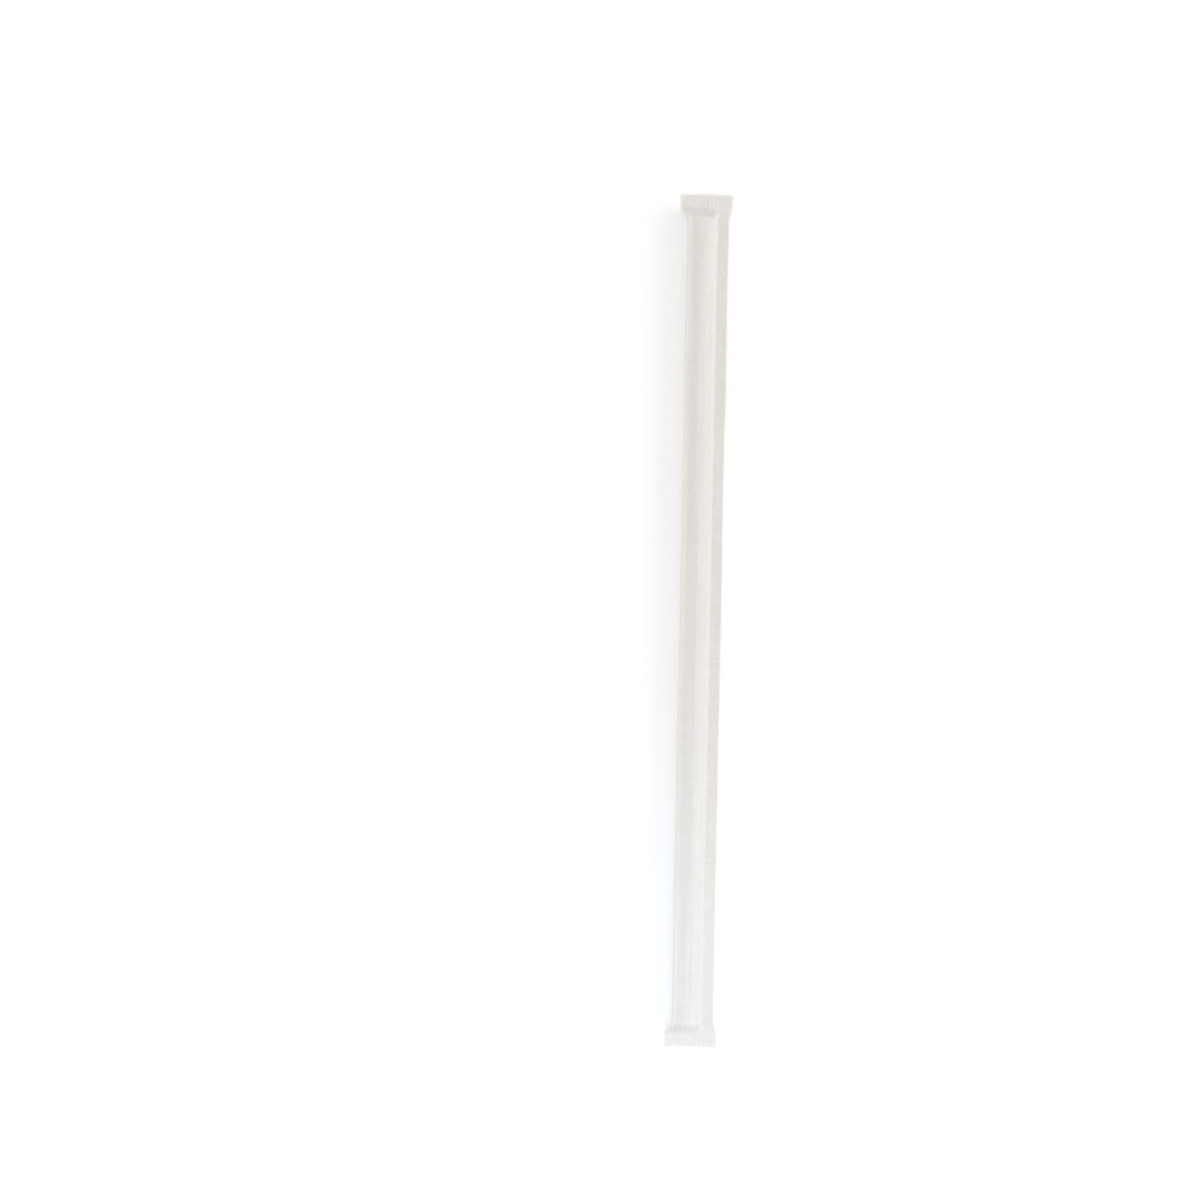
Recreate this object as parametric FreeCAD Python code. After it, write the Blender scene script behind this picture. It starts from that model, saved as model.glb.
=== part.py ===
import FreeCAD, Part
import math
import os

# One drinking straw in its closed paper wrapper, in millimetres. The straw runs along Y and lies
# on the plane Z = 0. The origin is on that plane, under the middle of the outline.
#
# The wrapper is one strip of thin paper. It goes round the straw, its two long edges meet as a
# flat two-ply fin on the +X side, and each end is pressed flat and crimped with fine ribs.

# Straw
straw_length = 197.0
straw_diameter = 6.0
straw_wall = 0.2

# Paper, and how closely it goes round the straw
paper_thickness = 0.08
wrap_clearance = 0.15
rest_clearance = 0.02

# Side fin: its width, and how far past the round body its two plies meet
fin_width = 2.6
fin_standoff = 1.15

# Soft crease opposite the fin, left by the fold of the flat ends: its angle round the straw's
# axis from +X, how far it stands out of the round, and its radius
crease_angle = 145.0
crease_reach = 0.2
crease_radius = 0.9

# Ends: room past the straw, the taper from round to flat, and the flat crimped band. Small
# pleats take up a share of the paper's width, and thicken its wall by a share of itself.
end_play = 0.5
taper_length = 3.5
taper_steps = 5
crimp_length = 3.0
pleat_take_up = 0.12
pleat_thickening = 1.5
fin_side_flare = 0.8
seal_gap = 0.02
seal_margin = 0.3

# Ribs side by side on each crimped band, running along the straw
rib_pitch = 1.0
rib_width = 0.55
rib_height = 0.1

# An arc whose middle is nearer than this to its chord is drawn as a straight line
straight_within = 1e-6

# Places worked out from the sizes above, with the straw's axis at X = 0
straw_radius = straw_diameter / 2
body_radius = straw_radius + wrap_clearance + paper_thickness
fin_height = 2 * paper_thickness
root_x = body_radius + fin_standoff
fin_edge_x = root_x + fin_width
crease_distance = body_radius + crease_reach - crease_radius
crease_spread = math.degrees(math.acos((body_radius - crease_radius) / crease_distance))
crease_start = crease_angle + crease_spread
crease_end = crease_angle - crease_spread
root_bearing = math.atan2(fin_height - body_radius, root_x)
root_range = math.hypot(root_x, fin_height - body_radius)
shoulder_angle = math.degrees(root_bearing + math.acos(body_radius / root_range))
round_half = straw_length / 2 + end_play
band_start = round_half + taper_length


def point(x, z):
    """A point of a section across the straw."""
    return FreeCAD.Vector(x, 0, z)


def part_way(start, end, share):
    return start + (end - start) * share


def on_circle(centre, radius, angle):
    turn = math.radians(angle)
    return centre + point(math.cos(turn), math.sin(turn)) * radius


# A section is a list of spans, and a span is its start, its middle and its end


def straight(start, end):
    return (start, part_way(start, end, 0.5), end)


def rounded(centre, radius, start_angle, end_angle):
    angles = (start_angle, (start_angle + end_angle) / 2, end_angle)
    return tuple(on_circle(centre, radius, angle) for angle in angles)


def leaving_level(start, end):
    """The arc from start to end that is level at its start, as paper leaves the table."""
    across = (end.x - start.x) / 2
    half_rise = math.atan2(end.z - start.z, abs(end.x - start.x)) / 2
    half_chord = start.distanceToPoint(end) / 2
    middle = start + point(math.copysign(half_chord, across), half_chord * math.tan(half_rise))
    return (start, middle, end)


def span_edge(span):
    start, middle, end = span
    if middle.distanceToLine(start, end - start) < straight_within:
        return Part.LineSegment(start, end).toShape()
    return Part.Arc(start, middle, end).toShape()


def span_lengths(spans):
    return [span_edge(span).Length for span in spans]


def round_loop(inset):
    """The paper's way round the straw: from the fin's root along the table, up the far side,
    over the crease and the top, and down to the root. inset is how deep it is in the paper."""
    body = point(0, body_radius)
    crease = on_circle(body, crease_distance, crease_angle)
    radius = body_radius - inset
    small = crease_radius - inset
    shoulder = on_circle(body, radius, shoulder_angle)
    foot_z = inset if inset else fin_height
    foot_x = shoulder.x + (shoulder.z - foot_z) * math.tan(math.radians(shoulder_angle))
    return [
        straight(point(foot_x, inset), point(0, inset)),
        rounded(body, radius, 270.0, crease_start),
        straight(on_circle(body, radius, crease_start), on_circle(crease, small, crease_start)),
        rounded(crease, small, crease_start, crease_end),
        straight(on_circle(crease, small, crease_end), on_circle(body, radius, crease_end)),
        rounded(body, radius, crease_end, shoulder_angle),
        straight(shoulder, point(foot_x, foot_z)),
    ]


# The flat ends: their width comes from the length of paper round the straw
loop_length = sum(span_lengths(round_loop(0)))
flat_width = loop_length / 2 * (1 - pleat_take_up)
flat_fin_x = fin_edge_x + fin_side_flare
flat_root_x = flat_fin_x - fin_width
fold_x = flat_root_x - flat_width


def laid_out(spans, start, end):
    """Straight spans from start to end, in the proportions of the given ones."""
    lengths = span_lengths(spans)
    shares = [sum(lengths[:i]) / sum(lengths) for i in range(len(lengths) + 1)]
    stops = [part_way(start, end, share) for share in shares]
    return [straight(a, b) for a, b in zip(stops, stops[1:])]


def flat_loop(loop, low, high, fold_inset):
    """A loop pressed flat between the heights low and high, with its crease as the fold. Its two
    ends stay at the heights that they have at the fin's root."""
    fold = point(fold_x + fold_inset, (low + high) / 2)
    lower = laid_out(loop[:3], point(flat_root_x, loop[0][0].z), point(fold.x, low))
    upper = laid_out(loop[4:], point(fold.x, high), point(flat_root_x, loop[-1][2].z))
    return lower + [rounded(fold, (high - low) / 2, 270.0, 90.0)] + upper


def between(first, second, share):
    """A loop part of the way from first to second, whose second span leaves the table level."""
    loop = [
        tuple(part_way(a, b, share) for a, b in zip(one, other))
        for one, other in zip(first, second)
    ]
    loop[1] = leaving_level(loop[1][0], loop[1][2])
    return loop


def outer_section(share):
    """The outside of the paper and its fin. share is 0 round the straw and 1 at the flat ends."""
    loop = round_loop(0)
    loop = between(loop, flat_loop(loop, 0, fin_height, paper_thickness), share)
    low = loop[0][0]
    high = loop[-1][2]
    edge_x = fin_edge_x + fin_side_flare * share
    return [straight(point(edge_x, low.z), low)] + loop + [
        straight(high, point(edge_x, high.z)),
        straight(point(edge_x, high.z), point(edge_x, low.z)),
    ]


def inner_section(share):
    """The inside of the paper, whose wall is thickest half way down the taper's pleats."""
    pleats = 4 * share * (1 - share) * pleat_thickening
    loop = round_loop(paper_thickness * (1 + pleats))
    low = paper_thickness - seal_gap / 2
    flat = flat_loop(round_loop(paper_thickness), low, low + seal_gap, seal_margin)
    return between(loop, flat, share)


def closed_form(section, band_length):
    """A solid along Y: round over the straw, a soft taper to flat, then a band at each end."""
    stations = []
    for step in range(taper_steps + 1):
        way = step / taper_steps
        stations.append((round_half + way * taper_length, section(way * way * (3 - 2 * way))))
    if band_length:
        stations.append((band_start + band_length, section(1)))
    wires = []
    for side in (-1, 1):
        for y, spans in stations[::side]:
            wire = Part.Wire([span_edge(span) for span in spans])
            wire.translate(FreeCAD.Vector(0, side * y, 0))
            wires.append(wire)
    return Part.makeLoft(wires, True, True)


def crimp_rib(x, y):
    left = FreeCAD.Vector(x - rib_width / 2, y, fin_height)
    top = FreeCAD.Vector(x, y, fin_height + rib_height)
    right = FreeCAD.Vector(x + rib_width / 2, y, fin_height)
    down = FreeCAD.Vector(0, 0, -paper_thickness)
    corners = [right, right + down, left + down, left]
    edges = [Part.Arc(left, top, right).toShape()]
    edges += [Part.LineSegment(a, b).toShape() for a, b in zip(corners, corners[1:])]
    return Part.Face(Part.Wire(edges)).extrude(FreeCAD.Vector(0, crimp_length, 0))


def make_ribs():
    count = int((flat_fin_x - fold_x - rib_width) / rib_pitch)
    first_x = (fold_x + flat_fin_x - (count - 1) * rib_pitch) / 2
    return [
        crimp_rib(first_x + i * rib_pitch, y)
        for y in (-band_start - crimp_length, band_start)
        for i in range(count)
    ]


def make_paper_wrapper():
    outside = closed_form(outer_section, crimp_length)
    hollow = closed_form(inner_section, 0)
    return outside.fuse(make_ribs()).cut(hollow)


def make_drinking_straw():
    axis_z = paper_thickness + rest_clearance + straw_radius
    start = FreeCAD.Vector(0, -straw_length / 2, axis_z)
    along = FreeCAD.Vector(0, 1, 0)
    tube = Part.makeCylinder(straw_radius, straw_length, start, along)
    bore = Part.makeCylinder(straw_radius - straw_wall, straw_length, start, along)
    return tube.cut(bore)


def export(name, shape):
    """Moves the shape so that the origin is under the middle of the outline, and writes it."""
    middle_x = (min(fold_x, -body_radius) + flat_fin_x) / 2
    shape.translate(FreeCAD.Vector(-middle_x, 0, 0))
    shape.exportStep(f"parts/{name}.step")
    box = shape.BoundBox
    print(
        f"{name}: valid {shape.isValid()}, {len(shape.Solids)} solid, {len(shape.Faces)} faces, "
        f"{shape.Volume:.1f} mm3, x {box.XMin:.2f} to {box.XMax:.2f}, "
        f"y {box.YMin:.2f} to {box.YMax:.2f}, z {box.ZMin:.3f} to {box.ZMax:.3f}"
    )


os.makedirs("parts", exist_ok=True)
strip_size = (loop_length + 2 * fin_width, 2 * (band_start + crimp_length))
print(f"paper strip {strip_size[0]:.2f} mm wide and {strip_size[1]:.1f} mm long")
print(f"flat ends {flat_fin_x - fold_x:.2f} mm wide")
export("paper_wrapper", make_paper_wrapper())
export("drinking_straw", make_drinking_straw())
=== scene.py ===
# %% [markdown]
# # A drinking straw in its paper wrapper
#
# The real object is two pieces: an extruded plastic tube, and one strip of thin paper that a
# machine folds round it. The strip's two long edges meet as a flat fin at one side, its fold makes
# a soft crease at the other side, and both ends are pressed flat and crimped.
#
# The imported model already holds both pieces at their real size, so the first step loads it. Every
# place below is worked out from its boxes, and everything is in metres.

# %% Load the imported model
import math

import bpy
import numpy as np
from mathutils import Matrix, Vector


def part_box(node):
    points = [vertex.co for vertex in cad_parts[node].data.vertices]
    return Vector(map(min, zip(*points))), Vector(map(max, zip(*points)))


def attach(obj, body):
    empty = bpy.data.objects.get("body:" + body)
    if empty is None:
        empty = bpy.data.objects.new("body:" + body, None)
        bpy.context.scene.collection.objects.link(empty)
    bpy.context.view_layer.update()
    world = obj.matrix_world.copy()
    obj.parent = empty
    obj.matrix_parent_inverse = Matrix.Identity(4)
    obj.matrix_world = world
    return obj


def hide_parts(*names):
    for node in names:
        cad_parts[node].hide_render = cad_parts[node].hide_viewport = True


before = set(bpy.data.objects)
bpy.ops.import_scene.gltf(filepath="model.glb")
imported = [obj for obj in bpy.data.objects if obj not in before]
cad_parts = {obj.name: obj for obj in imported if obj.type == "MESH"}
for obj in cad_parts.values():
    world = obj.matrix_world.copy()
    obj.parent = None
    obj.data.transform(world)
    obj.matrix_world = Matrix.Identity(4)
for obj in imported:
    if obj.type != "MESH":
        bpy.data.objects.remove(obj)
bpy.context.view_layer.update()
MM = 0.001

# %% [markdown]
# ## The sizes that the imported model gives
#
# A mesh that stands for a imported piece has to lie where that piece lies. The straw's box gives its
# axis and radius, and the wrapper's box gives the paper's height, its length and the two edges of
# its flat ends. Only sizes that a box can't show, such as the paper's thickness, are written here.

# %% Read the boxes
straw_low, straw_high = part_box("drinking_straw")
wrap_low, wrap_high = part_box("paper_wrapper")

axis_x = (straw_low.x + straw_high.x) / 2
straw_radius = (straw_high.x - straw_low.x) / 2
straw_end = straw_high.y
body_radius = wrap_high.z / 2
wrap_end = wrap_high.y

paper_thickness = 0.08 * MM
fin_height = 2 * paper_thickness
fin_width = 2.6 * MM
fin_standoff = 1.15 * MM
end_play = 0.5 * MM
taper_length = 3.5 * MM
crease_angle = 145.0
crease_reach = 0.2 * MM
crease_radius = 0.9 * MM

root_x = axis_x + body_radius + fin_standoff
fin_edge_x = root_x + fin_width
flat_edge_x = wrap_high.x
flat_root_x = flat_edge_x - fin_width
fold_x = wrap_low.x
taper_start = straw_end + end_play
band_start = taper_start + taper_length
print(f"straw axis x {axis_x / MM:.2f} mm, radius {straw_radius / MM:.2f} mm")
print(f"paper round it to {body_radius / MM:.2f} mm, ends flat from y {band_start / MM:.1f} mm")

# %% [markdown]
# ## The way of the paper round the straw
#
# Cut across, the paper runs from the fin's root along the table, up the far side, over the soft
# crease and the top, and down a free slope to the root again. A list of short straight and round
# stretches describes that. Angles are in degrees, counted from +X. The crease's own angle is given
# above, and the angles where its straight flanks and the free slope leave the round body follow.

# %% Stretches of a section
centre = np.array([axis_x, body_radius])
crease_distance = body_radius + crease_reach - crease_radius
crease_spread = math.degrees(math.acos((body_radius - crease_radius) / crease_distance))
crease_start = crease_angle + crease_spread
crease_end = crease_angle - crease_spread
root_bearing = math.atan2(fin_height - body_radius, root_x - axis_x)
root_range = math.hypot(root_x - axis_x, fin_height - body_radius)
shoulder_angle = math.degrees(root_bearing + math.acos(body_radius / root_range))


def on_circle(middle, radius, angle):
    turned = math.radians(angle)
    return middle + radius * np.array([math.cos(turned), math.sin(turned)])


def straight(start, end, steps):
    """Points from start up to, but not at, end."""
    share = np.arange(steps)[:, None] / steps
    return np.asarray(start) + (np.asarray(end) - np.asarray(start)) * share


def rounded(middle, radius, start_angle, end_angle, steps):
    angles = np.radians(start_angle + (end_angle - start_angle) * np.arange(steps) / steps)
    return middle + radius * np.column_stack((np.cos(angles), np.sin(angles)))


def running_length(path):
    """How far along a path each of its points lies."""
    return np.concatenate(([0.0], np.cumsum(np.linalg.norm(np.diff(path, axis=0), axis=1))))


print(f"shoulder at {shoulder_angle:.1f} degrees, crease from {crease_end:.1f} to {crease_start:.1f}")

# %% [markdown]
# Two sections use those stretches, and each stretch has its own number of columns in the mesh. The
# round section goes over the straw, and set in by the paper's thickness it is the inside too. The flat
# one is the same paper pressed between two heights, point for point, so that one section can blend
# into the other. The soft fold lies half way round.

# %% The round section and the flat one
BODY_COLUMNS = {"under": 4, "far side": 12, "flank": 2, "crease": 6, "top": 24, "slope": 10}
FIN_COLUMNS = 7
EDGE_COLUMNS = 4
FOLD_AT = 0.5


def round_section(inset, columns):
    """The paper round the straw, from the fin's root to the fin's root, as rows of x and z."""
    crease = on_circle(centre, crease_distance, crease_angle)
    radius = body_radius - inset
    small = crease_radius - inset
    shoulder = on_circle(centre, radius, shoulder_angle)
    foot_z = inset if inset else fin_height
    foot_x = shoulder[0] + (shoulder[1] - foot_z) * math.tan(math.radians(shoulder_angle))
    crease_foot = on_circle(crease, small, crease_start)
    crease_head = on_circle(crease, small, crease_end)
    return np.vstack([
        straight((foot_x, inset), (axis_x, inset), columns["under"]),
        rounded(centre, radius, 270.0, crease_start, columns["far side"]),
        straight(on_circle(centre, radius, crease_start), crease_foot, columns["flank"]),
        rounded(crease, small, crease_start, crease_end, columns["crease"]),
        straight(crease_head, on_circle(centre, radius, crease_end), columns["flank"]),
        rounded(centre, radius, crease_end, shoulder_angle, columns["top"]),
        straight(shoulder, (foot_x, foot_z), columns["slope"]),
        [(foot_x, foot_z)],
    ])


def flat_section(path, low, high, fold_inset, columns):
    """The same paper pressed flat between two heights, in the proportions of the round path."""
    fold_at = columns["under"] + columns["far side"] + columns["flank"]
    fold_to = fold_at + columns["crease"]
    run = running_length(path)
    below = run[: fold_at + 1] / run[fold_at]
    above = (run[fold_to:] - run[fold_to]) / (run[-1] - run[fold_to])
    fold = fold_x + fold_inset
    under = np.column_stack((flat_root_x + (fold - flat_root_x) * below, np.full(below.size, low)))
    over = np.column_stack((fold + (flat_root_x - fold) * above, np.full(above.size, high)))
    half = (high - low) / 2
    bend = rounded(np.array([fold, low + half]), half, 270.0, 90.0, columns["crease"])
    return np.vstack([under[:-1], bend, over])


print("points in the round section", len(round_section(0.0, BODY_COLUMNS)))

# %% [markdown]
# ## Where real paper strays from that rule
#
# Paper that was folded by a machine and handled since isn't a perfect tube. Its crease is sharper
# in some places than in others, the free slope beside the fin bulges in and out, the fin lifts from
# the table in long shallow waves, and small pleats gather where the round body is pressed flat.
# Three soft steps come first, because nearly every form and mark below fades in or out with one.

# %% Soft steps
def smooth(low, high, value):
    """0 below low and 1 above high, with a soft change between."""
    share = np.clip((value - low) / (high - low), 0.0, 1.0)
    return share * share * (3 - 2 * share)


def plateau(rise, fall, value):
    """1 between two soft changes, each given by its two ends, and 0 outside them."""
    return smooth(*rise, value) * (1 - smooth(*fall, value))


def bell(value, middle, width):
    """1 at the middle, and next to nothing two widths away."""
    return np.exp(-(((value - middle) / width) ** 2))


print("soft steps half way:", smooth(0, 1, 0.5), plateau((0, 1), (2, 3), 0.5))

# %% [markdown]
# Each irregular form is a smooth function of the place along the straw, built from a few waves. Their
# lengths and phases come from a fixed seed, so that every run gives the same paper. The waves of one
# function seldom peak together, so their heights may add up to more than 1.

# %% Smooth irregular waves
SEED = 2026
LENGTH_SPREAD = (0.85, 1.15)
HEIGHTS_TOGETHER = 1.6

dice = np.random.default_rng(SEED)


def make_wave(longest, shortest, count=5):
    """A function of y between about -1 and 1, whose waves are between two lengths long."""
    lengths = np.geomspace(longest, shortest, count) * dice.uniform(*LENGTH_SPREAD, count)
    phases = dice.uniform(0, 2 * math.pi, count)
    heights = (lengths / lengths.max()) ** 0.5
    heights = heights / heights.sum() * HEIGHTS_TOGETHER

    def wave(y):
        return sum(
            height * np.sin(2 * math.pi * y / length + phase)
            for length, phase, height in zip(lengths, phases, heights)
        )

    return wave


slope_wave = make_wave(64 * MM, 9 * MM)
slope_fine_wave = make_wave(11 * MM, 3.5 * MM)
fin_lift_wave = make_wave(90 * MM, 14 * MM)
fin_edge_wave = make_wave(70 * MM, 8 * MM)
crease_wave = make_wave(80 * MM, 12 * MM)
facet_waves = [make_wave(120 * MM, 25 * MM) for _ in range(4)]

slope_bulge = 0.22 * MM
slope_ripple = 0.05 * MM
fin_lift = 0.3 * MM
fin_edge_stray = 0.07 * MM
crease_stray = 0.07 * MM
facet_depth = 0.035 * MM
print("waves", 5 + len(facet_waves), "and the deepest form", slope_bulge / MM, "mm")

# %% [markdown]
# Dents are local, so each is a soft bump with its own centre, length and width. A dent is given by
# its share of the way round the paper and its place along the straw. Long narrow bumps that hardly
# lean are the soft creases that run along the paper where it was pulled tight.

# %% Dents and long soft creases
bump_reach = 97 * MM


def scatter(count, shares, lengths, widths, lean, depths):
    """Random bumps as rows of share, place, length, width, lean and depth."""
    return np.column_stack((
        dice.uniform(*shares, count), dice.uniform(-bump_reach, bump_reach, count),
        dice.uniform(*lengths, count), dice.uniform(*widths, count),
        dice.uniform(-lean, lean, count), dice.uniform(*depths, count),
    ))


dents = scatter(
    46, shares=(0.36, 0.93), lengths=(2.5 * MM, 14 * MM), widths=(0.018, 0.045), lean=2.5,
    depths=(-0.07 * MM, 0.045 * MM),
)
creases = scatter(
    26, shares=(0.53, 0.9), lengths=(12 * MM, 45 * MM), widths=(0.01, 0.017), lean=0.3,
    depths=(-0.14 * MM, 0.12 * MM),
)
soft_bumps = np.vstack([dents, creases])


def bumps(share, y):
    total = np.zeros(np.broadcast(share, y).shape)
    for at, place, length, width, lean, depth in soft_bumps:
        across = (share - at - lean * (y - place)) / width
        total += depth * np.exp(-(across**2) - ((y - place) / length) ** 2)
    return total


print("soft bumps", len(soft_bumps))

# %% [markdown]
# Where the round body is pressed flat there is too much paper for the width, so it gathers in small
# folds that fan out from the straw's end. They aren't evenly spread, some are deeper, and some start
# later than others. Two ripples round the section see to that. Each is given by its radians for the
# whole way round and by how far an end's own shift moves it, so that the two ends differ.

# %% Pleats
PLEATS = 7
PLEATED_SHARE = 0.42
PLEAT_SHARPNESS = 0.7
PLEATED_PART = ((0.44, 0.52), (0.9, 0.97))
PLEAT_UNEVENNESS = 0.3
SPREAD_STRAY = 0.016
SPREAD_TURNS = 3.4
LATE_RIPPLE = (37.0, 25.0)
HEIGHT_RIPPLE = (19.0, 40.0)
pleat_height = 0.24 * MM
pleat_start = straw_end - 1.5 * MM
pleat_delay = 0.7 * MM
pleat_growth = 3.0 * MM
pleat_fade = (band_start - 1.5 * MM, band_start - 0.1 * MM)
pleat_shift = dice.uniform(-0.25, 0.25, 2)


def ripple(share, shift, radians_round, radians_by_shift):
    return np.cos(radians_round * share + radians_by_shift * shift)


def pleats(share, y):
    """Folds that run from the crimped band towards the straw, deepest half way down the taper."""
    shift = np.where(y > 0, pleat_shift[0], pleat_shift[1])
    first = pleat_start + pleat_delay * (1 + ripple(share, shift, *LATE_RIPPLE))
    swell = plateau((first, first + pleat_growth), pleat_fade, np.abs(y))
    drift = SPREAD_STRAY * np.sin(2 * math.pi * (SPREAD_TURNS * share + 2 * shift))
    fan = np.cos(2 * math.pi * (PLEATS * (share + drift - FOLD_AT) / PLEATED_SHARE + shift))
    fan = np.abs(fan) ** PLEAT_SHARPNESS * np.sign(fan)
    uneven = 1 - PLEAT_UNEVENNESS + PLEAT_UNEVENNESS * ripple(share, shift, *HEIGHT_RIPPLE)
    over_top = plateau(*PLEATED_PART, share)
    return pleat_height * swell * over_top * uneven * fan


print("pleats at each end", PLEATS, "and their shifts", pleat_shift.round(3))

# %% [markdown]
# The whole relief is the sum of all these forms, and it says how far the paper stands out from the
# plain section. It fades out close to the table, where the paper lies flat, and past the straw's end,
# where nothing holds the round form. The straw's rim shows as a faint raised line.

# %% The whole relief
SLOPE_FROM = 0.815
CREASE_WIDTH = 0.03
FACET_TURN = 1.7
flat_below = 0.15 * MM
free_above = 1.2 * MM
end_fade = 2.0 * MM
rim_print_height = 0.05 * MM
rim_print_width = 0.5 * MM


def relief(share, height, y):
    """How far the paper stands out of its rule. share is 0 to 1 round the section."""
    off_table = smooth(flat_below, free_above, height)
    over_straw = 1 - smooth(straw_end - end_fade, taper_start + end_fade, np.abs(y))
    slope = np.sin(math.pi * np.clip((share - SLOPE_FROM) / (1 - SLOPE_FROM), 0, 1)) ** 2
    facets = sum(
        wave(y) * np.cos(2 * math.pi * (k + 2) * share + FACET_TURN * k)
        for k, wave in enumerate(facet_waves)
    )
    body = crease_stray * bell(share, FOLD_AT, CREASE_WIDTH) * crease_wave(y)
    body = body + facet_depth * facets + bumps(share, y)
    body = body + slope * (slope_bulge * slope_wave(y) + slope_ripple * slope_fine_wave(y))
    rim = rim_print_height * bell(np.abs(y), straw_end, rim_print_width)
    return off_table * (body * over_straw + pleats(share, y) + rim)


print("relief over the straw's middle mm", round(float(relief(0.7, body_radius, 0.0)) / MM, 3))

# %% [markdown]
# ## Rings, and the skin between them
#
# A ring is the whole section at one place along the straw: the body, then the top of the fin, its
# edge and its underside. Rings of the round part blend into rings of the flat end by a soft step.
# The crimped ends need finer columns than the long body, so three stretches of rings are made, and
# one row of faces with more corners joins a coarse ring to a fine one.

# %% The body's part of a ring
pleat_wall = 1.5
seal_gap = 0.02 * MM
seal_margin = 0.3 * MM


def pressed_at(y):
    """0 over the straw and 1 where the paper is pressed flat, with a soft step down the taper."""
    return smooth(taper_start, band_start, abs(y))


def ring_shares(path):
    run = running_length(path)
    return run / run[-1]


def outward(points):
    """Unit normals of an open path whose outside is on its left-hand side."""
    tangent = np.gradient(points, axis=0)
    normal = np.column_stack((-tangent[:, 1], tangent[:, 0]))
    return normal / np.linalg.norm(normal, axis=1)[:, None]


def outer_body(y, columns):
    """The body's outside in a ring at y, from the fin's root to the fin's root."""
    path = round_section(0.0, columns)
    flat = flat_section(path, 0.0, fin_height, paper_thickness, columns)
    return blended(path, flat, y)


def inner_body(y, columns):
    """The body's inside, whose wall is thickest half way down the taper, where pleats gather."""
    pressed = pressed_at(y)
    gathered = 4 * pressed * (1 - pressed)
    path = round_section(paper_thickness * (1 + pleat_wall * gathered), columns)
    low = paper_thickness - seal_gap / 2
    flat = flat_section(path, low, low + seal_gap, seal_margin, columns)
    return blended(path, flat, y)[:-1]


def blended(path, flat, y):
    """Blends the round path into the flat one, and adds the relief of real paper."""
    points = path + (flat - path) * pressed_at(y)
    lifted = relief(ring_shares(path), points[:, 1], y)
    return points + outward(points) * lifted[:, None]


body_points = outer_body(0.0, BODY_COLUMNS)
top_mm = round(body_points[:, 1].max() / MM, 2)
print("points of the body in a ring", len(body_points), "highest at", top_mm, "mm")

# %% [markdown]
# The fin is two plies, so its edge has a shallow groove between them. It lifts from the table towards
# its edge, less so at the pressed ends, and the ends themselves curl up a little.

# %% The fin's part, and a whole ring
FINENESS = 4
LIFT_BEND = 1.6
LIFT_HELD_AT_ENDS = 0.6
GROOVE_SHARE = 0.2
CURL_PHASE = 1.3
ply_split = 0.05 * MM
end_curl = 0.3 * MM
curl_wave = 2.1 * MM


def plain_edge(y):
    """Where the fin's long edge lies at y, before it strays."""
    return fin_edge_x + (flat_edge_x - fin_edge_x) * pressed_at(y)


def fin_ring(y, columns):
    """The fin's part of a ring at y: its top from the root, its edge, and its underside."""
    pressed = pressed_at(y)
    root = root_x + (flat_root_x - root_x) * pressed
    edge = plain_edge(y) - fin_edge_stray * (1 + fin_edge_wave(y)) / 2
    out = straight((root, 0.0), (edge, 0.0), columns)
    out = np.vstack([out, [(edge, 0.0)]])
    way = (out[:, 0] - root) / (edge - root)
    free = 1 - LIFT_HELD_AT_ENDS * pressed
    lift = fin_lift * free * np.clip(0.5 + 0.5 * fin_lift_wave(y), 0, 1) * way**LIFT_BEND
    top = np.column_stack((out[:, 0], fin_height + lift))
    under = np.column_stack((out[:, 0], lift))
    rim = straight(top[-1], under[-1], EDGE_COLUMNS * columns // FIN_COLUMNS)
    off_middle = np.abs(np.arange(len(rim)) / len(rim) - 0.5)
    rim[:, 0] -= ply_split * (1 - smooth(0.0, GROOVE_SHARE, off_middle))
    return np.vstack([top[1:-1], rim, under[:0:-1]])


def finer(fineness):
    return {name: count * fineness for name, count in BODY_COLUMNS.items()}


def outer_ring(y, fineness):
    """A whole ring, with the slight upward curl of the crimped end."""
    columns = finer(fineness)
    ring = np.vstack([outer_body(y, columns), fin_ring(y, FIN_COLUMNS * fineness)])
    curl = smooth(band_start, wrap_end + 2 * MM, abs(y)) * end_curl
    phase = math.copysign(CURL_PHASE, y)
    ring[:, 1] += curl * (1 + 0.5 * np.sin(ring[:, 0] / curl_wave + phase))
    return ring


def inner_ring(y):
    return inner_body(y, {name: max(count // 2, 1) for name, count in BODY_COLUMNS.items()})


coarse_count, fine_count = len(outer_ring(0.0, 1)), len(outer_ring(wrap_end, FINENESS))
print("points in a body ring", coarse_count, "and in an end ring", fine_count)

# %% [markdown]
# A ring needs marks too, so that later steps know what each point is: part of the fin, part of a
# crimped end, paper that the straw backs from inside, a cut edge that hands and boxes rub, or the
# fold, which gets a painted highlight. They are kept as point attributes, which the crimping tree and
# the finish read by name.

# %% Marks for the later steps
MARKS = ("press_fin", "press_end", "backing", "edges")
BACKED_SHARES = ((0.17, 0.21), (0.81, 0.87))
KNURLED_PART = ((0.0, 0.25), (0.9, 1.0))
FOLD_LIFT = 0.6
FOLD_LIFT_WIDTH = 0.045
# The fold's mark is a painted highlight, a bright line where the crease catches light. Rubbed wear is
# only on the cut rims.
HIGHLIGHT_FOLD_AT = 0.505
HIGHLIGHT_FOLD_WIDTH = 0.034
rib_margin = 0.3 * MM
band_rise = (band_start, band_start + 0.4 * MM)
band_fall = (wrap_end - 0.4 * MM, wrap_end - 0.1 * MM)
backing_fade = (straw_end - 0.3 * MM, straw_end + 0.6 * MM)
rubbed_rim = (0.05 * MM, 0.35 * MM)


def from_rim(y, x):
    """How far the points of a ring lie from the fin's long edge or from the cut end."""
    return np.minimum(plain_edge(y) - x, wrap_end - abs(y))


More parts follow.
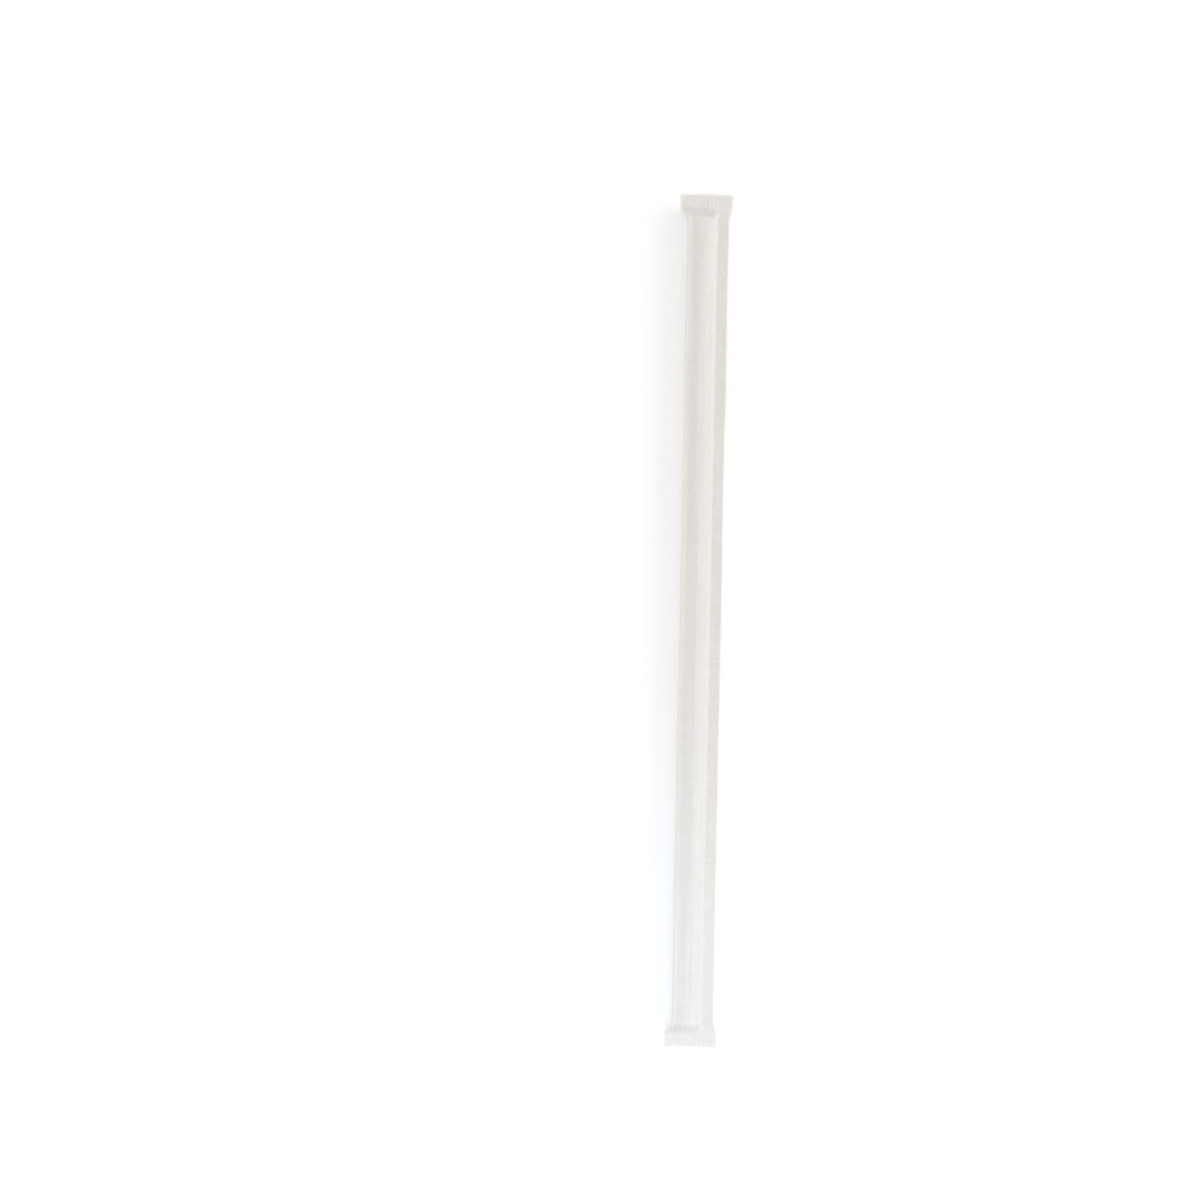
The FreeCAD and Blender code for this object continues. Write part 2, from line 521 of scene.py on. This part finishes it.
def outer_marks(y, fineness, ring):
    """A column for each of MARKS, with a row for each point of the ring at y."""
    share = ring_shares(round_section(0.0, finer(fineness)))
    beyond = np.zeros(len(ring) - share.size)
    steps = FIN_COLUMNS * fineness
    on_fin = plateau(*KNURLED_PART, np.arange(1, steps) / steps)
    edge = np.zeros(EDGE_COLUMNS * fineness + 1)
    fin = np.concatenate([np.zeros(share.size), on_fin, edge, on_fin[::-1]])
    along_body = 1 - pressed_at(y)
    in_band = plateau(band_rise, band_fall, abs(y))
    from_edges = np.minimum(ring[:, 0] - fold_x, flat_edge_x - ring[:, 0])
    touch = plateau(*BACKED_SHARES, share)
    touch = touch * (1 - FOLD_LIFT * bell(share, FOLD_AT, FOLD_LIFT_WIDTH))
    backing = np.concatenate([touch, beyond]) * (1 - smooth(*backing_fade, abs(y)))
    # A painted highlight along the fold, and real rubbed wear on the cut rims.
    fold_highlight = np.concatenate([bell(share, HIGHLIGHT_FOLD_AT, HIGHLIGHT_FOLD_WIDTH), beyond])
    on_rim = 1 - smooth(*rubbed_rim, from_rim(y, ring[:, 0]))
    return np.column_stack((
        fin * along_body,
        smooth(0, rib_margin, from_edges) * in_band,
        backing,
        np.maximum(fold_highlight, on_rim),
    ))


middle_marks = outer_marks(0.0, 1, outer_ring(0.0, 1))
print("marks", MARKS, "mean in the middle ring", middle_marks.mean(axis=0).round(2))

# %% [markdown]
# ## The skin
#
# The outside is one closed skin: rings joined by four-cornered faces, and a flat cap at each end.
# The inside is a second closed skin that faces the other way, so the paper is a wall of real
# thickness all round. Both go into one mesh, because the wrapper is one folded strip.

# %% Join rings into a mesh
RING_STEP = 0.25 * MM
INNER_RING_STEP = 0.8 * MM
fine_start = 96.6 * MM


def ring_places(low, high, step):
    return np.linspace(low, high, round((high - low) / step) + 1)


def quads(first, second, count):
    """Four-cornered faces between two rings, which start at these point numbers."""
    here = np.arange(count)
    after = (here + 1) % count
    return np.column_stack((first + here, first + after, second + after, second + here)).tolist()


def fan_row(coarse, fine, count, fine_first):
    """Faces between a coarse ring and a fine one. The ring at the lower y comes first in a face."""
    faces = []
    for i in range(count):
        near = [coarse + i, coarse + (i + 1) % count]
        far = [fine + (FINENESS * i + k) % (FINENESS * count) for k in range(FINENESS + 1)]
        faces.append(far + near[::-1] if fine_first else near + far[::-1])
    return faces


def outer_skin():
    """Points, marks and faces of the outside."""
    stretches = (
        (-wrap_end, -fine_start, FINENESS),
        (-fine_start + RING_STEP, fine_start - RING_STEP, 1),
        (fine_start, wrap_end, FINENESS),
    )
    points, marks, faces, number = [], [], [], 0
    last = None
    for low, high, fineness in stretches:
        for y in ring_places(low, high, RING_STEP):
            ring = outer_ring(y, fineness)
            points.append(np.column_stack((ring[:, 0], np.full(len(ring), y), ring[:, 1])))
            marks.append(outer_marks(y, fineness, ring))
            if last is None:
                faces.append(list(range(len(ring)))[::-1])
            elif last[1] == fineness:
                faces += quads(last[0], number, len(ring))
            elif fineness == 1:
                faces += fan_row(number, last[0], len(ring), True)
            else:
                faces += fan_row(last[0], number, len(ring) // FINENESS, False)
            last = (number, fineness)
            number += len(ring)
    faces.append(list(range(last[0], number)))
    return np.vstack(points), np.vstack(marks), faces


outside = outer_skin()
print("outside", len(outside[0]), "points", len(outside[2]), "faces")

# %% [markdown]
# The inside is made in the same way with far fewer faces, since nobody sees it. Then both become one
# mesh with the marks as its point attributes.

# %% The inside, and the sheet's mesh
def inner_skin(first):
    """Points, marks and faces of the inside, which look into the hollow. first is its first number."""
    points, faces, number, last = [], [], first, None
    for y in ring_places(-band_start, band_start, INNER_RING_STEP):
        ring = inner_ring(y)
        points.append(np.column_stack((ring[:, 0], np.full(len(ring), y), ring[:, 1])))
        if last is None:
            faces.append(list(range(number, number + len(ring))))
        else:
            faces += [face[::-1] for face in quads(last, number, len(ring))]
        last = number
        number += len(ring)
    faces.append(list(range(last, number))[::-1])
    points = np.vstack(points)
    return points, np.zeros((len(points), len(MARKS))), faces


inside = inner_skin(len(outside[0]))
sheet_mesh = bpy.data.meshes.new("paper_sheet")
sheet_mesh.from_pydata(np.vstack([outside[0], inside[0]]), [], outside[2] + inside[2])
for column, name in enumerate(MARKS):
    mark = sheet_mesh.attributes.new(name, "FLOAT", "POINT")
    values = np.concatenate([outside[1][:, column], inside[1][:, column]])
    mark.data.foreach_set("value", values.astype(np.float32))
sheet_mesh.validate()
paper_sheet = bpy.data.objects.new("paper_sheet", sheet_mesh)
bpy.context.scene.collection.objects.link(paper_sheet)
print("paper sheet", len(sheet_mesh.vertices), "points", len(sheet_mesh.polygons), "faces")

# %% [markdown]
# ## Shader groups for what both materials share
#
# Paper and extruded plastic both vary softly from place to place, and both carry fine marks along
# the straw: fibres that lie the way the paper web ran, and lines that the die drew on the tube.
# Each effect is a node group with named inputs, built once and placed in a material with its own
# values. A group puts out only a value between 0 and 1, and the material decides what it does.

# %% Node helpers
def new_group(name, inputs, outputs):
    """A shader node group with float inputs, given as name and value, beside its Place."""
    group = bpy.data.node_groups.new(name, "ShaderNodeTree")
    group.interface.new_socket("Place", in_out="INPUT", socket_type="NodeSocketVector")
    for label, value in inputs:
        socket = group.interface.new_socket(label, in_out="INPUT", socket_type="NodeSocketFloat")
        socket.default_value = value
    for label in outputs:
        group.interface.new_socket(label, in_out="OUTPUT", socket_type="NodeSocketFloat")
    start = group.nodes.new("NodeGroupInput")
    end = group.nodes.new("NodeGroupOutput")
    return group, start, end


def add(tree, kind, links=(), **values):
    """A node whose inputs are linked or set by name. Other values are the node's own settings."""
    node = tree.nodes.new(kind)
    sockets = {key: value for key, value in values.items() if key.startswith("in_")}
    for key, value in values.items():
        if key not in sockets:
            setattr(node, key, value)
    for key, value in sockets.items():
        label = key[3:].replace("_", " ")
        node.inputs[int(label) if label.isdigit() else label].default_value = value
    for label, source in dict(links).items():
        tree.links.new(source, node.inputs[label])
    return node


print("a new group takes a Place and gives values between 0 and 1")

# %% [markdown]
# Cloudy variation is soft noise in patches, spread out so that it reaches both 0 and 1. The number of
# patches in a metre makes it the pulp's clouds, the paper's grain, or tone that changes slowly.

# %% Cloudy variation
def cloudy_variation():
    """Soft patches of two sizes, from 0 to 1."""
    group, start, end = new_group("cloudy_variation", [("Patches per metre", 300.0)], ["Cloud"])
    place, density = start.outputs["Place"], start.outputs["Patches per metre"]
    noise = add(
        group, "ShaderNodeTexNoise", {"Vector": place, "Scale": density},
        in_Detail=5.0, in_Roughness=0.62, in_Distortion=0.3,
    )
    spread = add(
        group, "ShaderNodeMapRange", {"Value": noise.outputs["Fac"]},
        interpolation_type="SMOOTHSTEP", in_From_Min=0.3, in_From_Max=0.7,
    )
    group.links.new(spread.outputs["Result"], end.inputs["Cloud"])
    return group


cloud_group = cloudy_variation()
print("group", cloud_group.name)

# %% [markdown]
# Marks along the straw are the same kind of noise, drawn out along Y. The place is squeezed along Y
# before the noise reads it, which makes each patch into a streak. The length ratio says how many
# times longer than wide a streak is.

# %% Marks along the straw
def lengthwise_marks():
    """Thin streaks along Y: many short ones for fibres, or long ones for drawn lines."""
    inputs = [("Streaks per metre", 5000.0), ("Length ratio", 8.0)]
    group, start, end = new_group("lengthwise_marks", inputs, ["Streak"])
    ratio = start.outputs["Length ratio"]
    squeeze = add(group, "ShaderNodeMath", {1: ratio}, in_0=1.0, operation="DIVIDE")
    stretch = add(group, "ShaderNodeCombineXYZ", in_X=1.0, in_Z=1.0)
    group.links.new(squeeze.outputs["Value"], stretch.inputs["Y"])
    drawn = add(
        group, "ShaderNodeVectorMath", {0: start.outputs["Place"], 1: stretch.outputs["Vector"]},
        operation="MULTIPLY",
    )
    noise = add(
        group, "ShaderNodeTexNoise",
        {"Vector": drawn.outputs["Vector"], "Scale": start.outputs["Streaks per metre"]},
        in_Detail=3.0, in_Roughness=0.55,
    )
    spread = add(
        group, "ShaderNodeMapRange", {"Value": noise.outputs["Fac"]},
        in_From_Min=0.25, in_From_Max=0.75,
    )
    group.links.new(spread.outputs["Result"], end.inputs["Streak"])
    return group


streak_group = lengthwise_marks()
print("group", streak_group.name)

# %% [markdown]
# ## The paper's finish
#
# Thin white wrapping paper is matt with a slight machine gloss. Held to the light its pulp is cloudy
# and its fibres make a fine grain. Where the paper stands free of the straw or lies two plies thick,
# as on the fin and the slope beside it, it is painted a little lighter than where the white straw
# backs it. This painted light makes up for the shade that the round body throws there. The finish
# mixes those with the marks on the mesh, and its bump holds only what is finer than the mesh.

# %% Material helpers
PLAIN_WHITE = (1.0, 1.0, 1.0, 1.0)


def new_material(name):
    """A material with one Principled shader, and the place that its patterns read."""
    material = bpy.data.materials.new(name)
    material.use_nodes = True
    tree = material.node_tree
    tree.nodes.clear()
    shader = tree.nodes.new("ShaderNodeBsdfPrincipled")
    output = tree.nodes.new("ShaderNodeOutputMaterial")
    tree.links.new(shader.outputs["BSDF"], output.inputs["Surface"])
    place = tree.nodes.new("ShaderNodeTexCoord").outputs["Object"]
    return material, tree, shader, place


def clouds(tree, place, per_metre):
    node = add(tree, "ShaderNodeGroup", node_tree=cloud_group)
    tree.links.new(place, node.inputs["Place"])
    node.inputs["Patches per metre"].default_value = per_metre
    return node.outputs["Cloud"]


def streaks(tree, place, per_metre, ratio):
    node = add(tree, "ShaderNodeGroup", node_tree=streak_group)
    tree.links.new(place, node.inputs["Place"])
    node.inputs["Streaks per metre"].default_value = per_metre
    node.inputs["Length ratio"].default_value = ratio
    return node.outputs["Streak"]


def mix_colour(tree, factor, first, second, blend="MIX"):
    """Mixes two colours. Each is a socket or a plain colour, and so is the factor."""
    node = tree.nodes.new("ShaderNodeMix")
    node.data_type = "RGBA"
    node.blend_type = blend
    for socket, value in ((node.inputs[0], factor), (node.inputs[6], first), (node.inputs[7], second)):
        if isinstance(value, bpy.types.NodeSocket):
            tree.links.new(value, socket)
        else:
            socket.default_value = value
    return node.outputs[2]


def tinted(tree, colour, mask, tint):
    """Multiplies a colour by the tint where the mask is 0, and leaves it where the mask is 1."""
    shade = mix_colour(tree, mask, tint, PLAIN_WHITE)
    return mix_colour(tree, 1.0, colour, shade, "MULTIPLY")


def ranged(tree, value, low, high):
    """A value from 0 to 1, made to run from low to high."""
    node = add(tree, "ShaderNodeMapRange", {"Value": value}, in_To_Min=low, in_To_Max=high)
    return node.outputs["Result"]


print("helpers for both finishes are ready")

# %% [markdown]
# The paper's colours come first, as they'd look under plain white light, with two kinds of painted
# light. The free paper is painted lighter against the body's shade. A painted highlight runs along the
# fold, in the same bright colour as the rubbed paper on the cut edges, and it is the brightest colour.
# Every tint is a factor that darkens the paper a little in the gaps of a pattern: between the pulp's
# clouds, between fibres, where the tone falls slowly off, and in long bands where the paper stands off
# the straw.

# %% Wrapping paper
BACKED_WHITE = (0.838, 0.81, 0.796, 1.0)
# Painted light: the free paper and the fin are painted lighter than the backed paper, to make up for
# the shade the body throws on them.
FREE_WHITE_WITH_PAINTED_LIGHT = (0.85, 0.826, 0.802, 1.0)
# The colour of a painted highlight along the fold, and of the real rubbed wear on the cut edges.
RUBBED_AND_HIGHLIGHT_WHITE = (0.93, 0.885, 0.82, 1.0)
PULP_TINT = (0.965, 0.96, 0.947, 1.0)
FIBRE_TINT = (0.965, 0.96, 0.95, 1.0)
SLOW_TINT = (0.985, 0.98, 0.965, 1.0)
STANDING_OFF_TINT = (0.945, 0.945, 0.94, 1.0)


def wrapping_paper():
    material, tree, shader, place = new_material("wrapping_paper")
    pulp = clouds(tree, place, per_metre=420.0)
    slow = clouds(tree, place, per_metre=45.0)
    grain = clouds(tree, place, per_metre=2600.0)
    fibres = streaks(tree, place, per_metre=3200.0, ratio=5.0)
    touching = streaks(tree, place, per_metre=620.0, ratio=26.0)
    backing = add(tree, "ShaderNodeAttribute", attribute_name="backing").outputs["Fac"]
    edges = add(tree, "ShaderNodeAttribute", attribute_name="edges").outputs["Fac"]
    # This mark carries a painted highlight on the fold and rubbed wear on the rims.
    mark_patchiness = ranged(tree, slow, low=0.45, high=1.0)
    wear_and_highlight_amount = add(tree, "ShaderNodeMath", {0: edges, 1: mark_patchiness}, operation="MULTIPLY").outputs["Value"]
    # The free paper, fin and slope, which lie in the body's shade, get the lighter colour as painted
    # light.
    colour = mix_colour(tree, backing, FREE_WHITE_WITH_PAINTED_LIGHT, BACKED_WHITE)
    colour = mix_colour(tree, wear_and_highlight_amount, colour, RUBBED_AND_HIGHLIGHT_WHITE)
    colour = tinted(tree, colour, pulp, PULP_TINT)
    colour = tinted(tree, colour, fibres, FIBRE_TINT)
    colour = tinted(tree, colour, slow, SLOW_TINT)
    colour = mix_colour(tree, backing, colour, tinted(tree, colour, touching, STANDING_OFF_TINT))
    tree.links.new(colour, shader.inputs["Base Color"])
    tree.links.new(ranged(tree, pulp, low=0.56, high=0.72), shader.inputs["Roughness"])
    height = add(tree, "ShaderNodeMath", {0: fibres, 1: grain}, operation="ADD").outputs["Value"]
    bump = add(tree, "ShaderNodeBump", {"Height": height}, in_Strength=0.6, in_Distance=0.03 * MM)
    tree.links.new(bump.outputs["Normal"], shader.inputs["Normal"])
    shader.inputs["Specular IOR Level"].default_value = 0.35
    return material


paper_finish = wrapping_paper()
print("finish", paper_finish.name, len(paper_finish.node_tree.nodes), "nodes")

# %% [markdown]
# ## Crimping the fin and the ends
#
# The machine bonds the plies without glue, between toothed wheels. They leave fine ribs across the
# fin and broader ribs along each flat end. Both are the same repeated form, so one Geometry Nodes
# tree makes both. It raises each marked point by a rounded rib whose pitch, width and height are
# inputs, with a little unevenness from a fixed seed. Both plies rise together, as pressed paper does.

# %% The form of the ribs
UNEVEN_PATCHES = 260.0


def calculate(tree, operation, first, second):
    """A maths node on two values, each a socket or a number."""
    node = tree.nodes.new("ShaderNodeMath")
    node.operation = operation
    for socket, value in zip(node.inputs, (first, second)):
        if isinstance(value, bpy.types.NodeSocket):
            tree.links.new(value, socket)
        else:
            socket.default_value = value
    return node.outputs["Value"]


def rib_form(tree, given, position):
    """1 on the crest of the nearest rib, falling softly to 0 at half a rib's width."""
    along = tree.nodes.new("ShaderNodeVectorMath")
    along.operation = "DOT_PRODUCT"
    tree.links.new(position, along.inputs[0])
    tree.links.new(given["Across"], along.inputs[1])
    from_first = calculate(tree, "SUBTRACT", along.outputs["Value"], given["First rib"])
    in_pitches = calculate(tree, "DIVIDE", from_first, given["Pitch"])
    off_rib = calculate(tree, "MULTIPLY", calculate(tree, "PINGPONG", in_pitches, 0.5), given["Pitch"])
    form = add(
        tree, "ShaderNodeMapRange", interpolation_type="SMOOTHSTEP", in_To_Min=1.0, in_To_Max=0.0
    )
    tree.links.new(off_rib, form.inputs["Value"])
    half_width = calculate(tree, "MULTIPLY", given["Rib width"], 0.5)
    tree.links.new(half_width, form.inputs["From Max"])
    return form.outputs["Result"]


def unevenness(tree, given, position):
    """A factor near 1 that changes softly from place to place."""
    noise = add(
        tree, "ShaderNodeTexNoise", noise_dimensions="4D", in_Scale=UNEVEN_PATCHES, in_Detail=1.0
    )
    tree.links.new(given["Seed"], noise.inputs["W"])
    tree.links.new(position, noise.inputs["Vector"])
    either_way = calculate(tree, "SUBTRACT", noise.outputs["Fac"], 0.5)
    either_way = calculate(tree, "MULTIPLY", either_way, 2.0)
    either_way = calculate(tree, "MULTIPLY", either_way, given["Unevenness"])
    return calculate(tree, "ADD", either_way, 1.0)


print("a rib's form and its unevenness are ready")

# %% [markdown]
# The tree multiplies the rib's form, its height, its unevenness and the mark, and lifts each point by
# that. Then it makes instances real and sets the finish.

# %% The crimping tree
TREE_INPUTS = {
    "Paper": "NodeSocketGeometry", "Mark": "NodeSocketString", "Across": "NodeSocketVector",
    "First rib": "NodeSocketFloat", "Pitch": "NodeSocketFloat", "Rib width": "NodeSocketFloat",
    "Rib height": "NodeSocketFloat", "Unevenness": "NodeSocketFloat", "Seed": "NodeSocketFloat",
    "Finish": "NodeSocketMaterial",
}


def crimping_tree():
    tree = bpy.data.node_groups.new("crimping_wheels", "GeometryNodeTree")
    for label, kind in TREE_INPUTS.items():
        tree.interface.new_socket(label, in_out="INPUT", socket_type=kind)
    tree.interface.new_socket("Crimped paper", in_out="OUTPUT", socket_type="NodeSocketGeometry")
    given = tree.nodes.new("NodeGroupInput").outputs
    result = tree.nodes.new("NodeGroupOutput")
    position = tree.nodes.new("GeometryNodeInputPosition").outputs["Position"]
    mark = add(tree, "GeometryNodeInputNamedAttribute", {"Name": given["Mark"]}, data_type="FLOAT")
    height = calculate(tree, "MULTIPLY", rib_form(tree, given, position), given["Rib height"])
    height = calculate(tree, "MULTIPLY", height, unevenness(tree, given, position))
    height = calculate(tree, "MULTIPLY", height, mark.outputs["Attribute"])
    lift = add(tree, "ShaderNodeCombineXYZ", {"Z": height})
    press = add(tree, "GeometryNodeSetPosition", {
        "Geometry": given["Paper"], "Offset": lift.outputs["Vector"],
    })
    real = add(tree, "GeometryNodeRealizeInstances", {"Geometry": press.outputs["Geometry"]})
    finish = add(tree, "GeometryNodeSetMaterial", {
        "Geometry": real.outputs["Geometry"], "Material": given["Finish"],
    })
    tree.links.new(finish.outputs["Geometry"], result.inputs["Crimped paper"])
    return tree


crimping = crimping_tree()
print("tree", crimping.name, len(crimping.nodes), "nodes")

# %% [markdown]
# The tree is used twice on the sheet, with the wheel's sizes for the fin and for the ends. A
# modifier's inputs go by socket identifier, so a small helper looks each one up by its name. The
# result becomes a plain mesh.

# %% Press the paper
SHARP_ANGLE = 40

fin_press = {
    "Mark": "press_fin", "Across": (0.0, 1.0, 0.0), "First rib": 0.0, "Pitch": 1.2 * MM,
    "Rib width": 1.0 * MM, "Rib height": 0.06 * MM, "Unevenness": 0.5, "Seed": 3.0,
    "Finish": paper_finish,
}
end_press = {
    "Mark": "press_end", "Across": (1.0, 0.0, 0.0), "First rib": 0.5 * MM, "Pitch": 1.0 * MM,
    "Rib width": 0.75 * MM, "Rib height": 0.1 * MM, "Unevenness": 0.25, "Seed": 8.0,
    "Finish": paper_finish,
}


def set_inputs(modifier, values):
    items = modifier.node_group.interface.items_tree
    identifiers = {item.name: item.identifier for item in items if item.in_out == "INPUT"}
    for label, value in values.items():
        modifier[identifiers[label]] = value


for label, values in (("fin wheel", fin_press), ("end wheel", end_press)):
    modifier = paper_sheet.modifiers.new(label, "NODES")
    modifier.node_group = crimping
    set_inputs(modifier, values)

evaluated = paper_sheet.evaluated_get(bpy.context.evaluated_depsgraph_get())
wrapper_mesh = bpy.data.meshes.new_from_object(evaluated)
wrapper_mesh.name = "wrapper"
bpy.data.objects.remove(paper_sheet)
wrapper_mesh.set_sharp_from_angle(angle=math.radians(SHARP_ANGLE))
wrapper = bpy.data.objects.new("wrapper", wrapper_mesh)
bpy.context.scene.collection.objects.link(wrapper)
triangles = sum(len(face.vertices) - 2 for face in wrapper_mesh.polygons)
print("wrapper", len(wrapper_mesh.vertices), "points", triangles, "triangles")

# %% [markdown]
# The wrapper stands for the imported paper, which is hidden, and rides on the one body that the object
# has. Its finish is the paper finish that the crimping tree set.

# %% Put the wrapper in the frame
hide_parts("paper_wrapper")
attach(wrapper, "root")
print("wrapper rides on root and stands for paper_wrapper")

# %% [markdown]
# ## The straw
#
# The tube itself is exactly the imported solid, so it stays and gets its finish: white plastic with a
# soft gloss, faint lines along it from the die, and a slight cloudiness. It uses the same two
# groups as the paper, with longer and finer streaks.

# %% Extruded plastic
PLASTIC_WHITE = (0.85, 0.85, 0.838, 1.0)
PLASTIC_CLOUD = (0.89, 0.89, 0.882, 1.0)
DIE_LINE_TINT = (0.975, 0.975, 0.97, 1.0)


def extruded_plastic():
    material, tree, shader, place = new_material("extruded_plastic")
    drawn = streaks(tree, place, per_metre=2600.0, ratio=90.0)
    cloud = clouds(tree, place, per_metre=120.0)
    colour = mix_colour(tree, cloud, PLASTIC_WHITE, PLASTIC_CLOUD)
    tree.links.new(tinted(tree, colour, drawn, DIE_LINE_TINT), shader.inputs["Base Color"])
    tree.links.new(ranged(tree, drawn, low=0.24, high=0.36), shader.inputs["Roughness"])
    bump = add(tree, "ShaderNodeBump", {"Height": drawn}, in_Strength=0.3, in_Distance=0.01 * MM)
    tree.links.new(bump.outputs["Normal"], shader.inputs["Normal"])
    return material


plastic_finish = extruded_plastic()
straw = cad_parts["drinking_straw"]
straw.data.materials.clear()
straw.data.materials.append(plastic_finish)
print("finish", plastic_finish.name, "on", straw.name)

# %% [markdown]
# ## Floor, light and camera
#
# The straw lies on a white table and is seen from straight above. The floor is plain white paper
# tone. For the camera, and in reflections, it adds a little of its own white, so that it reads as a
# white background while the straw's soft shadow stays. The white comes from Light Path and not from
# more light on the straw.

# %% Floor
FLOOR_HALF = 1.5
FLOOR_WHITE = 0.88
FLOOR_ROUGHNESS = 0.9
BACKGROUND_LIFT = 0.185


def seen_directly(tree):
    """1 for a ray from the camera, a reflection or glass, and 0 for light on the object."""
    path = tree.nodes.new("ShaderNodeLightPath")
    total = path.outputs["Is Camera Ray"]
    for name in ("Is Glossy Ray", "Is Transmission Ray"):
        node = tree.nodes.new("ShaderNodeMath")
        node.operation = "MAXIMUM"
        tree.links.new(total, node.inputs[0])
        tree.links.new(path.outputs[name], node.inputs[1])
        total = node.outputs["Value"]
    return total


def make_floor():
    material, tree, shader, _ = new_material("floor_white")
    shader.inputs["Base Color"].default_value = (FLOOR_WHITE, FLOOR_WHITE, FLOOR_WHITE, 1.0)
    shader.inputs["Roughness"].default_value = FLOOR_ROUGHNESS
    shader.inputs["Emission Color"].default_value = PLAIN_WHITE
    lift = tree.nodes.new("ShaderNodeMath")
    lift.operation = "MULTIPLY"
    lift.inputs[1].default_value = BACKGROUND_LIFT
    tree.links.new(seen_directly(tree), lift.inputs[0])
    tree.links.new(lift.outputs["Value"], shader.inputs["Emission Strength"])
    corners = [(-1, -1), (1, -1), (1, 1), (-1, 1)]
    mesh = bpy.data.meshes.new("floor")
    mesh.from_pydata([(x * FLOOR_HALF, y * FLOOR_HALF, 0.0) for x, y in corners], [], [(0, 1, 2, 3)])
    mesh.materials.append(material)
    floor = bpy.data.objects.new("floor", mesh)
    bpy.context.scene.collection.objects.link(floor)


make_floor()
print("floor", 2 * FLOOR_HALF, "m wide, with its own white of", BACKGROUND_LIFT, "for the camera")

# %% [markdown]
# The world lights the straw softly from all sides, and at a little less than full white. Where the
# camera or a reflection sees it directly, past the floor's edge, it is full white like the floor.

# %% World
WORLD_STRENGTH = 0.785


def make_world():
    world = bpy.data.worlds.new("white_room")
    world.use_nodes = True
    tree = world.node_tree
    background = tree.nodes["Background"]
    background.inputs["Color"].default_value = PLAIN_WHITE
    strength = tree.nodes.new("ShaderNodeMapRange")
    strength.inputs["To Min"].default_value = WORLD_STRENGTH
    strength.inputs["To Max"].default_value = 1.0
    tree.links.new(seen_directly(tree), strength.inputs["Value"])
    tree.links.new(strength.outputs["Result"], background.inputs["Strength"])
    bpy.context.scene.world = world


make_world()
print("world", bpy.context.scene.world.name, "lights the straw at", WORLD_STRENGTH)

# %% [markdown]
# Two wide soft lights come in low from either side, the right one stronger, so the shape shows as
# bands of tone: a bright shoulder beside the fin, a calm top, and a thin lit line on the crease.
# They are sun lights with a wide disc, because those light the table evenly far from the straw. A
# small cool lamp near the lower end makes the paper a little brighter there.

# %% Lights
SIDE_LIGHTS = {
    "right light": {"bearing": 104.0, "rise": 28.0, "disc": 30.0, "strength": 0.86},
    "left light": {"bearing": 280.0, "rise": 12.0, "disc": 30.0, "strength": 0.58},
}
FOOT_LAMP_PLACE = (0.0, -0.1, 0.08)
FOOT_LAMP_POWER = 0.015
FOOT_LAMP_SIZE = 0.06
COOL_WHITE = (0.5, 0.74, 1.0)


def put_light(name, light, place, target):
    lamp = bpy.data.objects.new(name, light)
    lamp.location = place
    lamp.rotation_euler = (Vector(place) - Vector(target)).to_track_quat("Z", "Y").to_euler()
    bpy.context.scene.collection.objects.link(lamp)
    return lamp


def add_side_light(name, bearing, rise, disc, strength):
    """A sun light from a bearing clockwise from +Y, at a rise above the table, in degrees."""
    turned, lifted = math.radians(bearing), math.radians(rise)
    level = math.cos(lifted)
    way = (math.sin(turned) * level, math.cos(turned) * level, math.sin(lifted))
    light = bpy.data.lights.new(name, "SUN")
    light.energy = strength
    light.angle = math.radians(disc)
    put_light(name, light, way, (0.0, 0.0, 0.0))


def add_foot_lamp():
    light = bpy.data.lights.new("foot lamp", "AREA")
    light.size = FOOT_LAMP_SIZE
    light.energy = FOOT_LAMP_POWER
    light.color = COOL_WHITE
    put_light("foot lamp", light, FOOT_LAMP_PLACE, (0.0, -wrap_end, 0.0)).visible_camera = False


for name, facts in SIDE_LIGHTS.items():
    add_side_light(name, **facts)
add_foot_lamp()
print("lights", sorted(SIDE_LIGHTS), "and a foot lamp")

# %% [markdown]
# The camera hangs over the table with a long lens. Its place follows from three facts about the
# picture: how many pixels a millimetre takes, the pixel where the straw's middle lies, and how far
# the straw leans from upright.

# %% Camera
PICTURE_SIDE = 1200
PIXELS_PER_MM = 4.05
MIDDLE_PIXEL = (700.5, 621.0)
LEAN = 1.14
LENS = 100.0
SENSOR = 36.0

fin_edge_at = fin_edge_x - fin_edge_stray / 2
middle = Vector(((axis_x - body_radius + fin_edge_at) / 2, 0.0, body_radius))
pixel = MM / PIXELS_PER_MM
lean = math.radians(LEAN)
picture_right = Vector((math.cos(lean), math.sin(lean), 0.0))
picture_up = Vector((-math.sin(lean), math.cos(lean), 0.0))
aside = (MIDDLE_PIXEL[0] - PICTURE_SIDE / 2) * pixel
above = (PICTURE_SIDE / 2 - MIDDLE_PIXEL[1]) * pixel
height = PICTURE_SIDE * pixel * LENS / SENSOR

lens = bpy.data.cameras.new("camera")
lens.lens = LENS
lens.sensor_width = SENSOR
lens.clip_start = 0.01
lens.clip_end = 10.0
camera = bpy.data.objects.new("camera", lens)
camera.location = middle - picture_right * aside - picture_up * above + Vector((0, 0, height))
camera.rotation_euler = (0.0, 0.0, lean)
bpy.context.scene.collection.objects.link(camera)
bpy.context.scene.camera = camera
bpy.context.scene.view_settings.view_transform = "Standard"
print(f"camera {height:.3f} m above the straw")
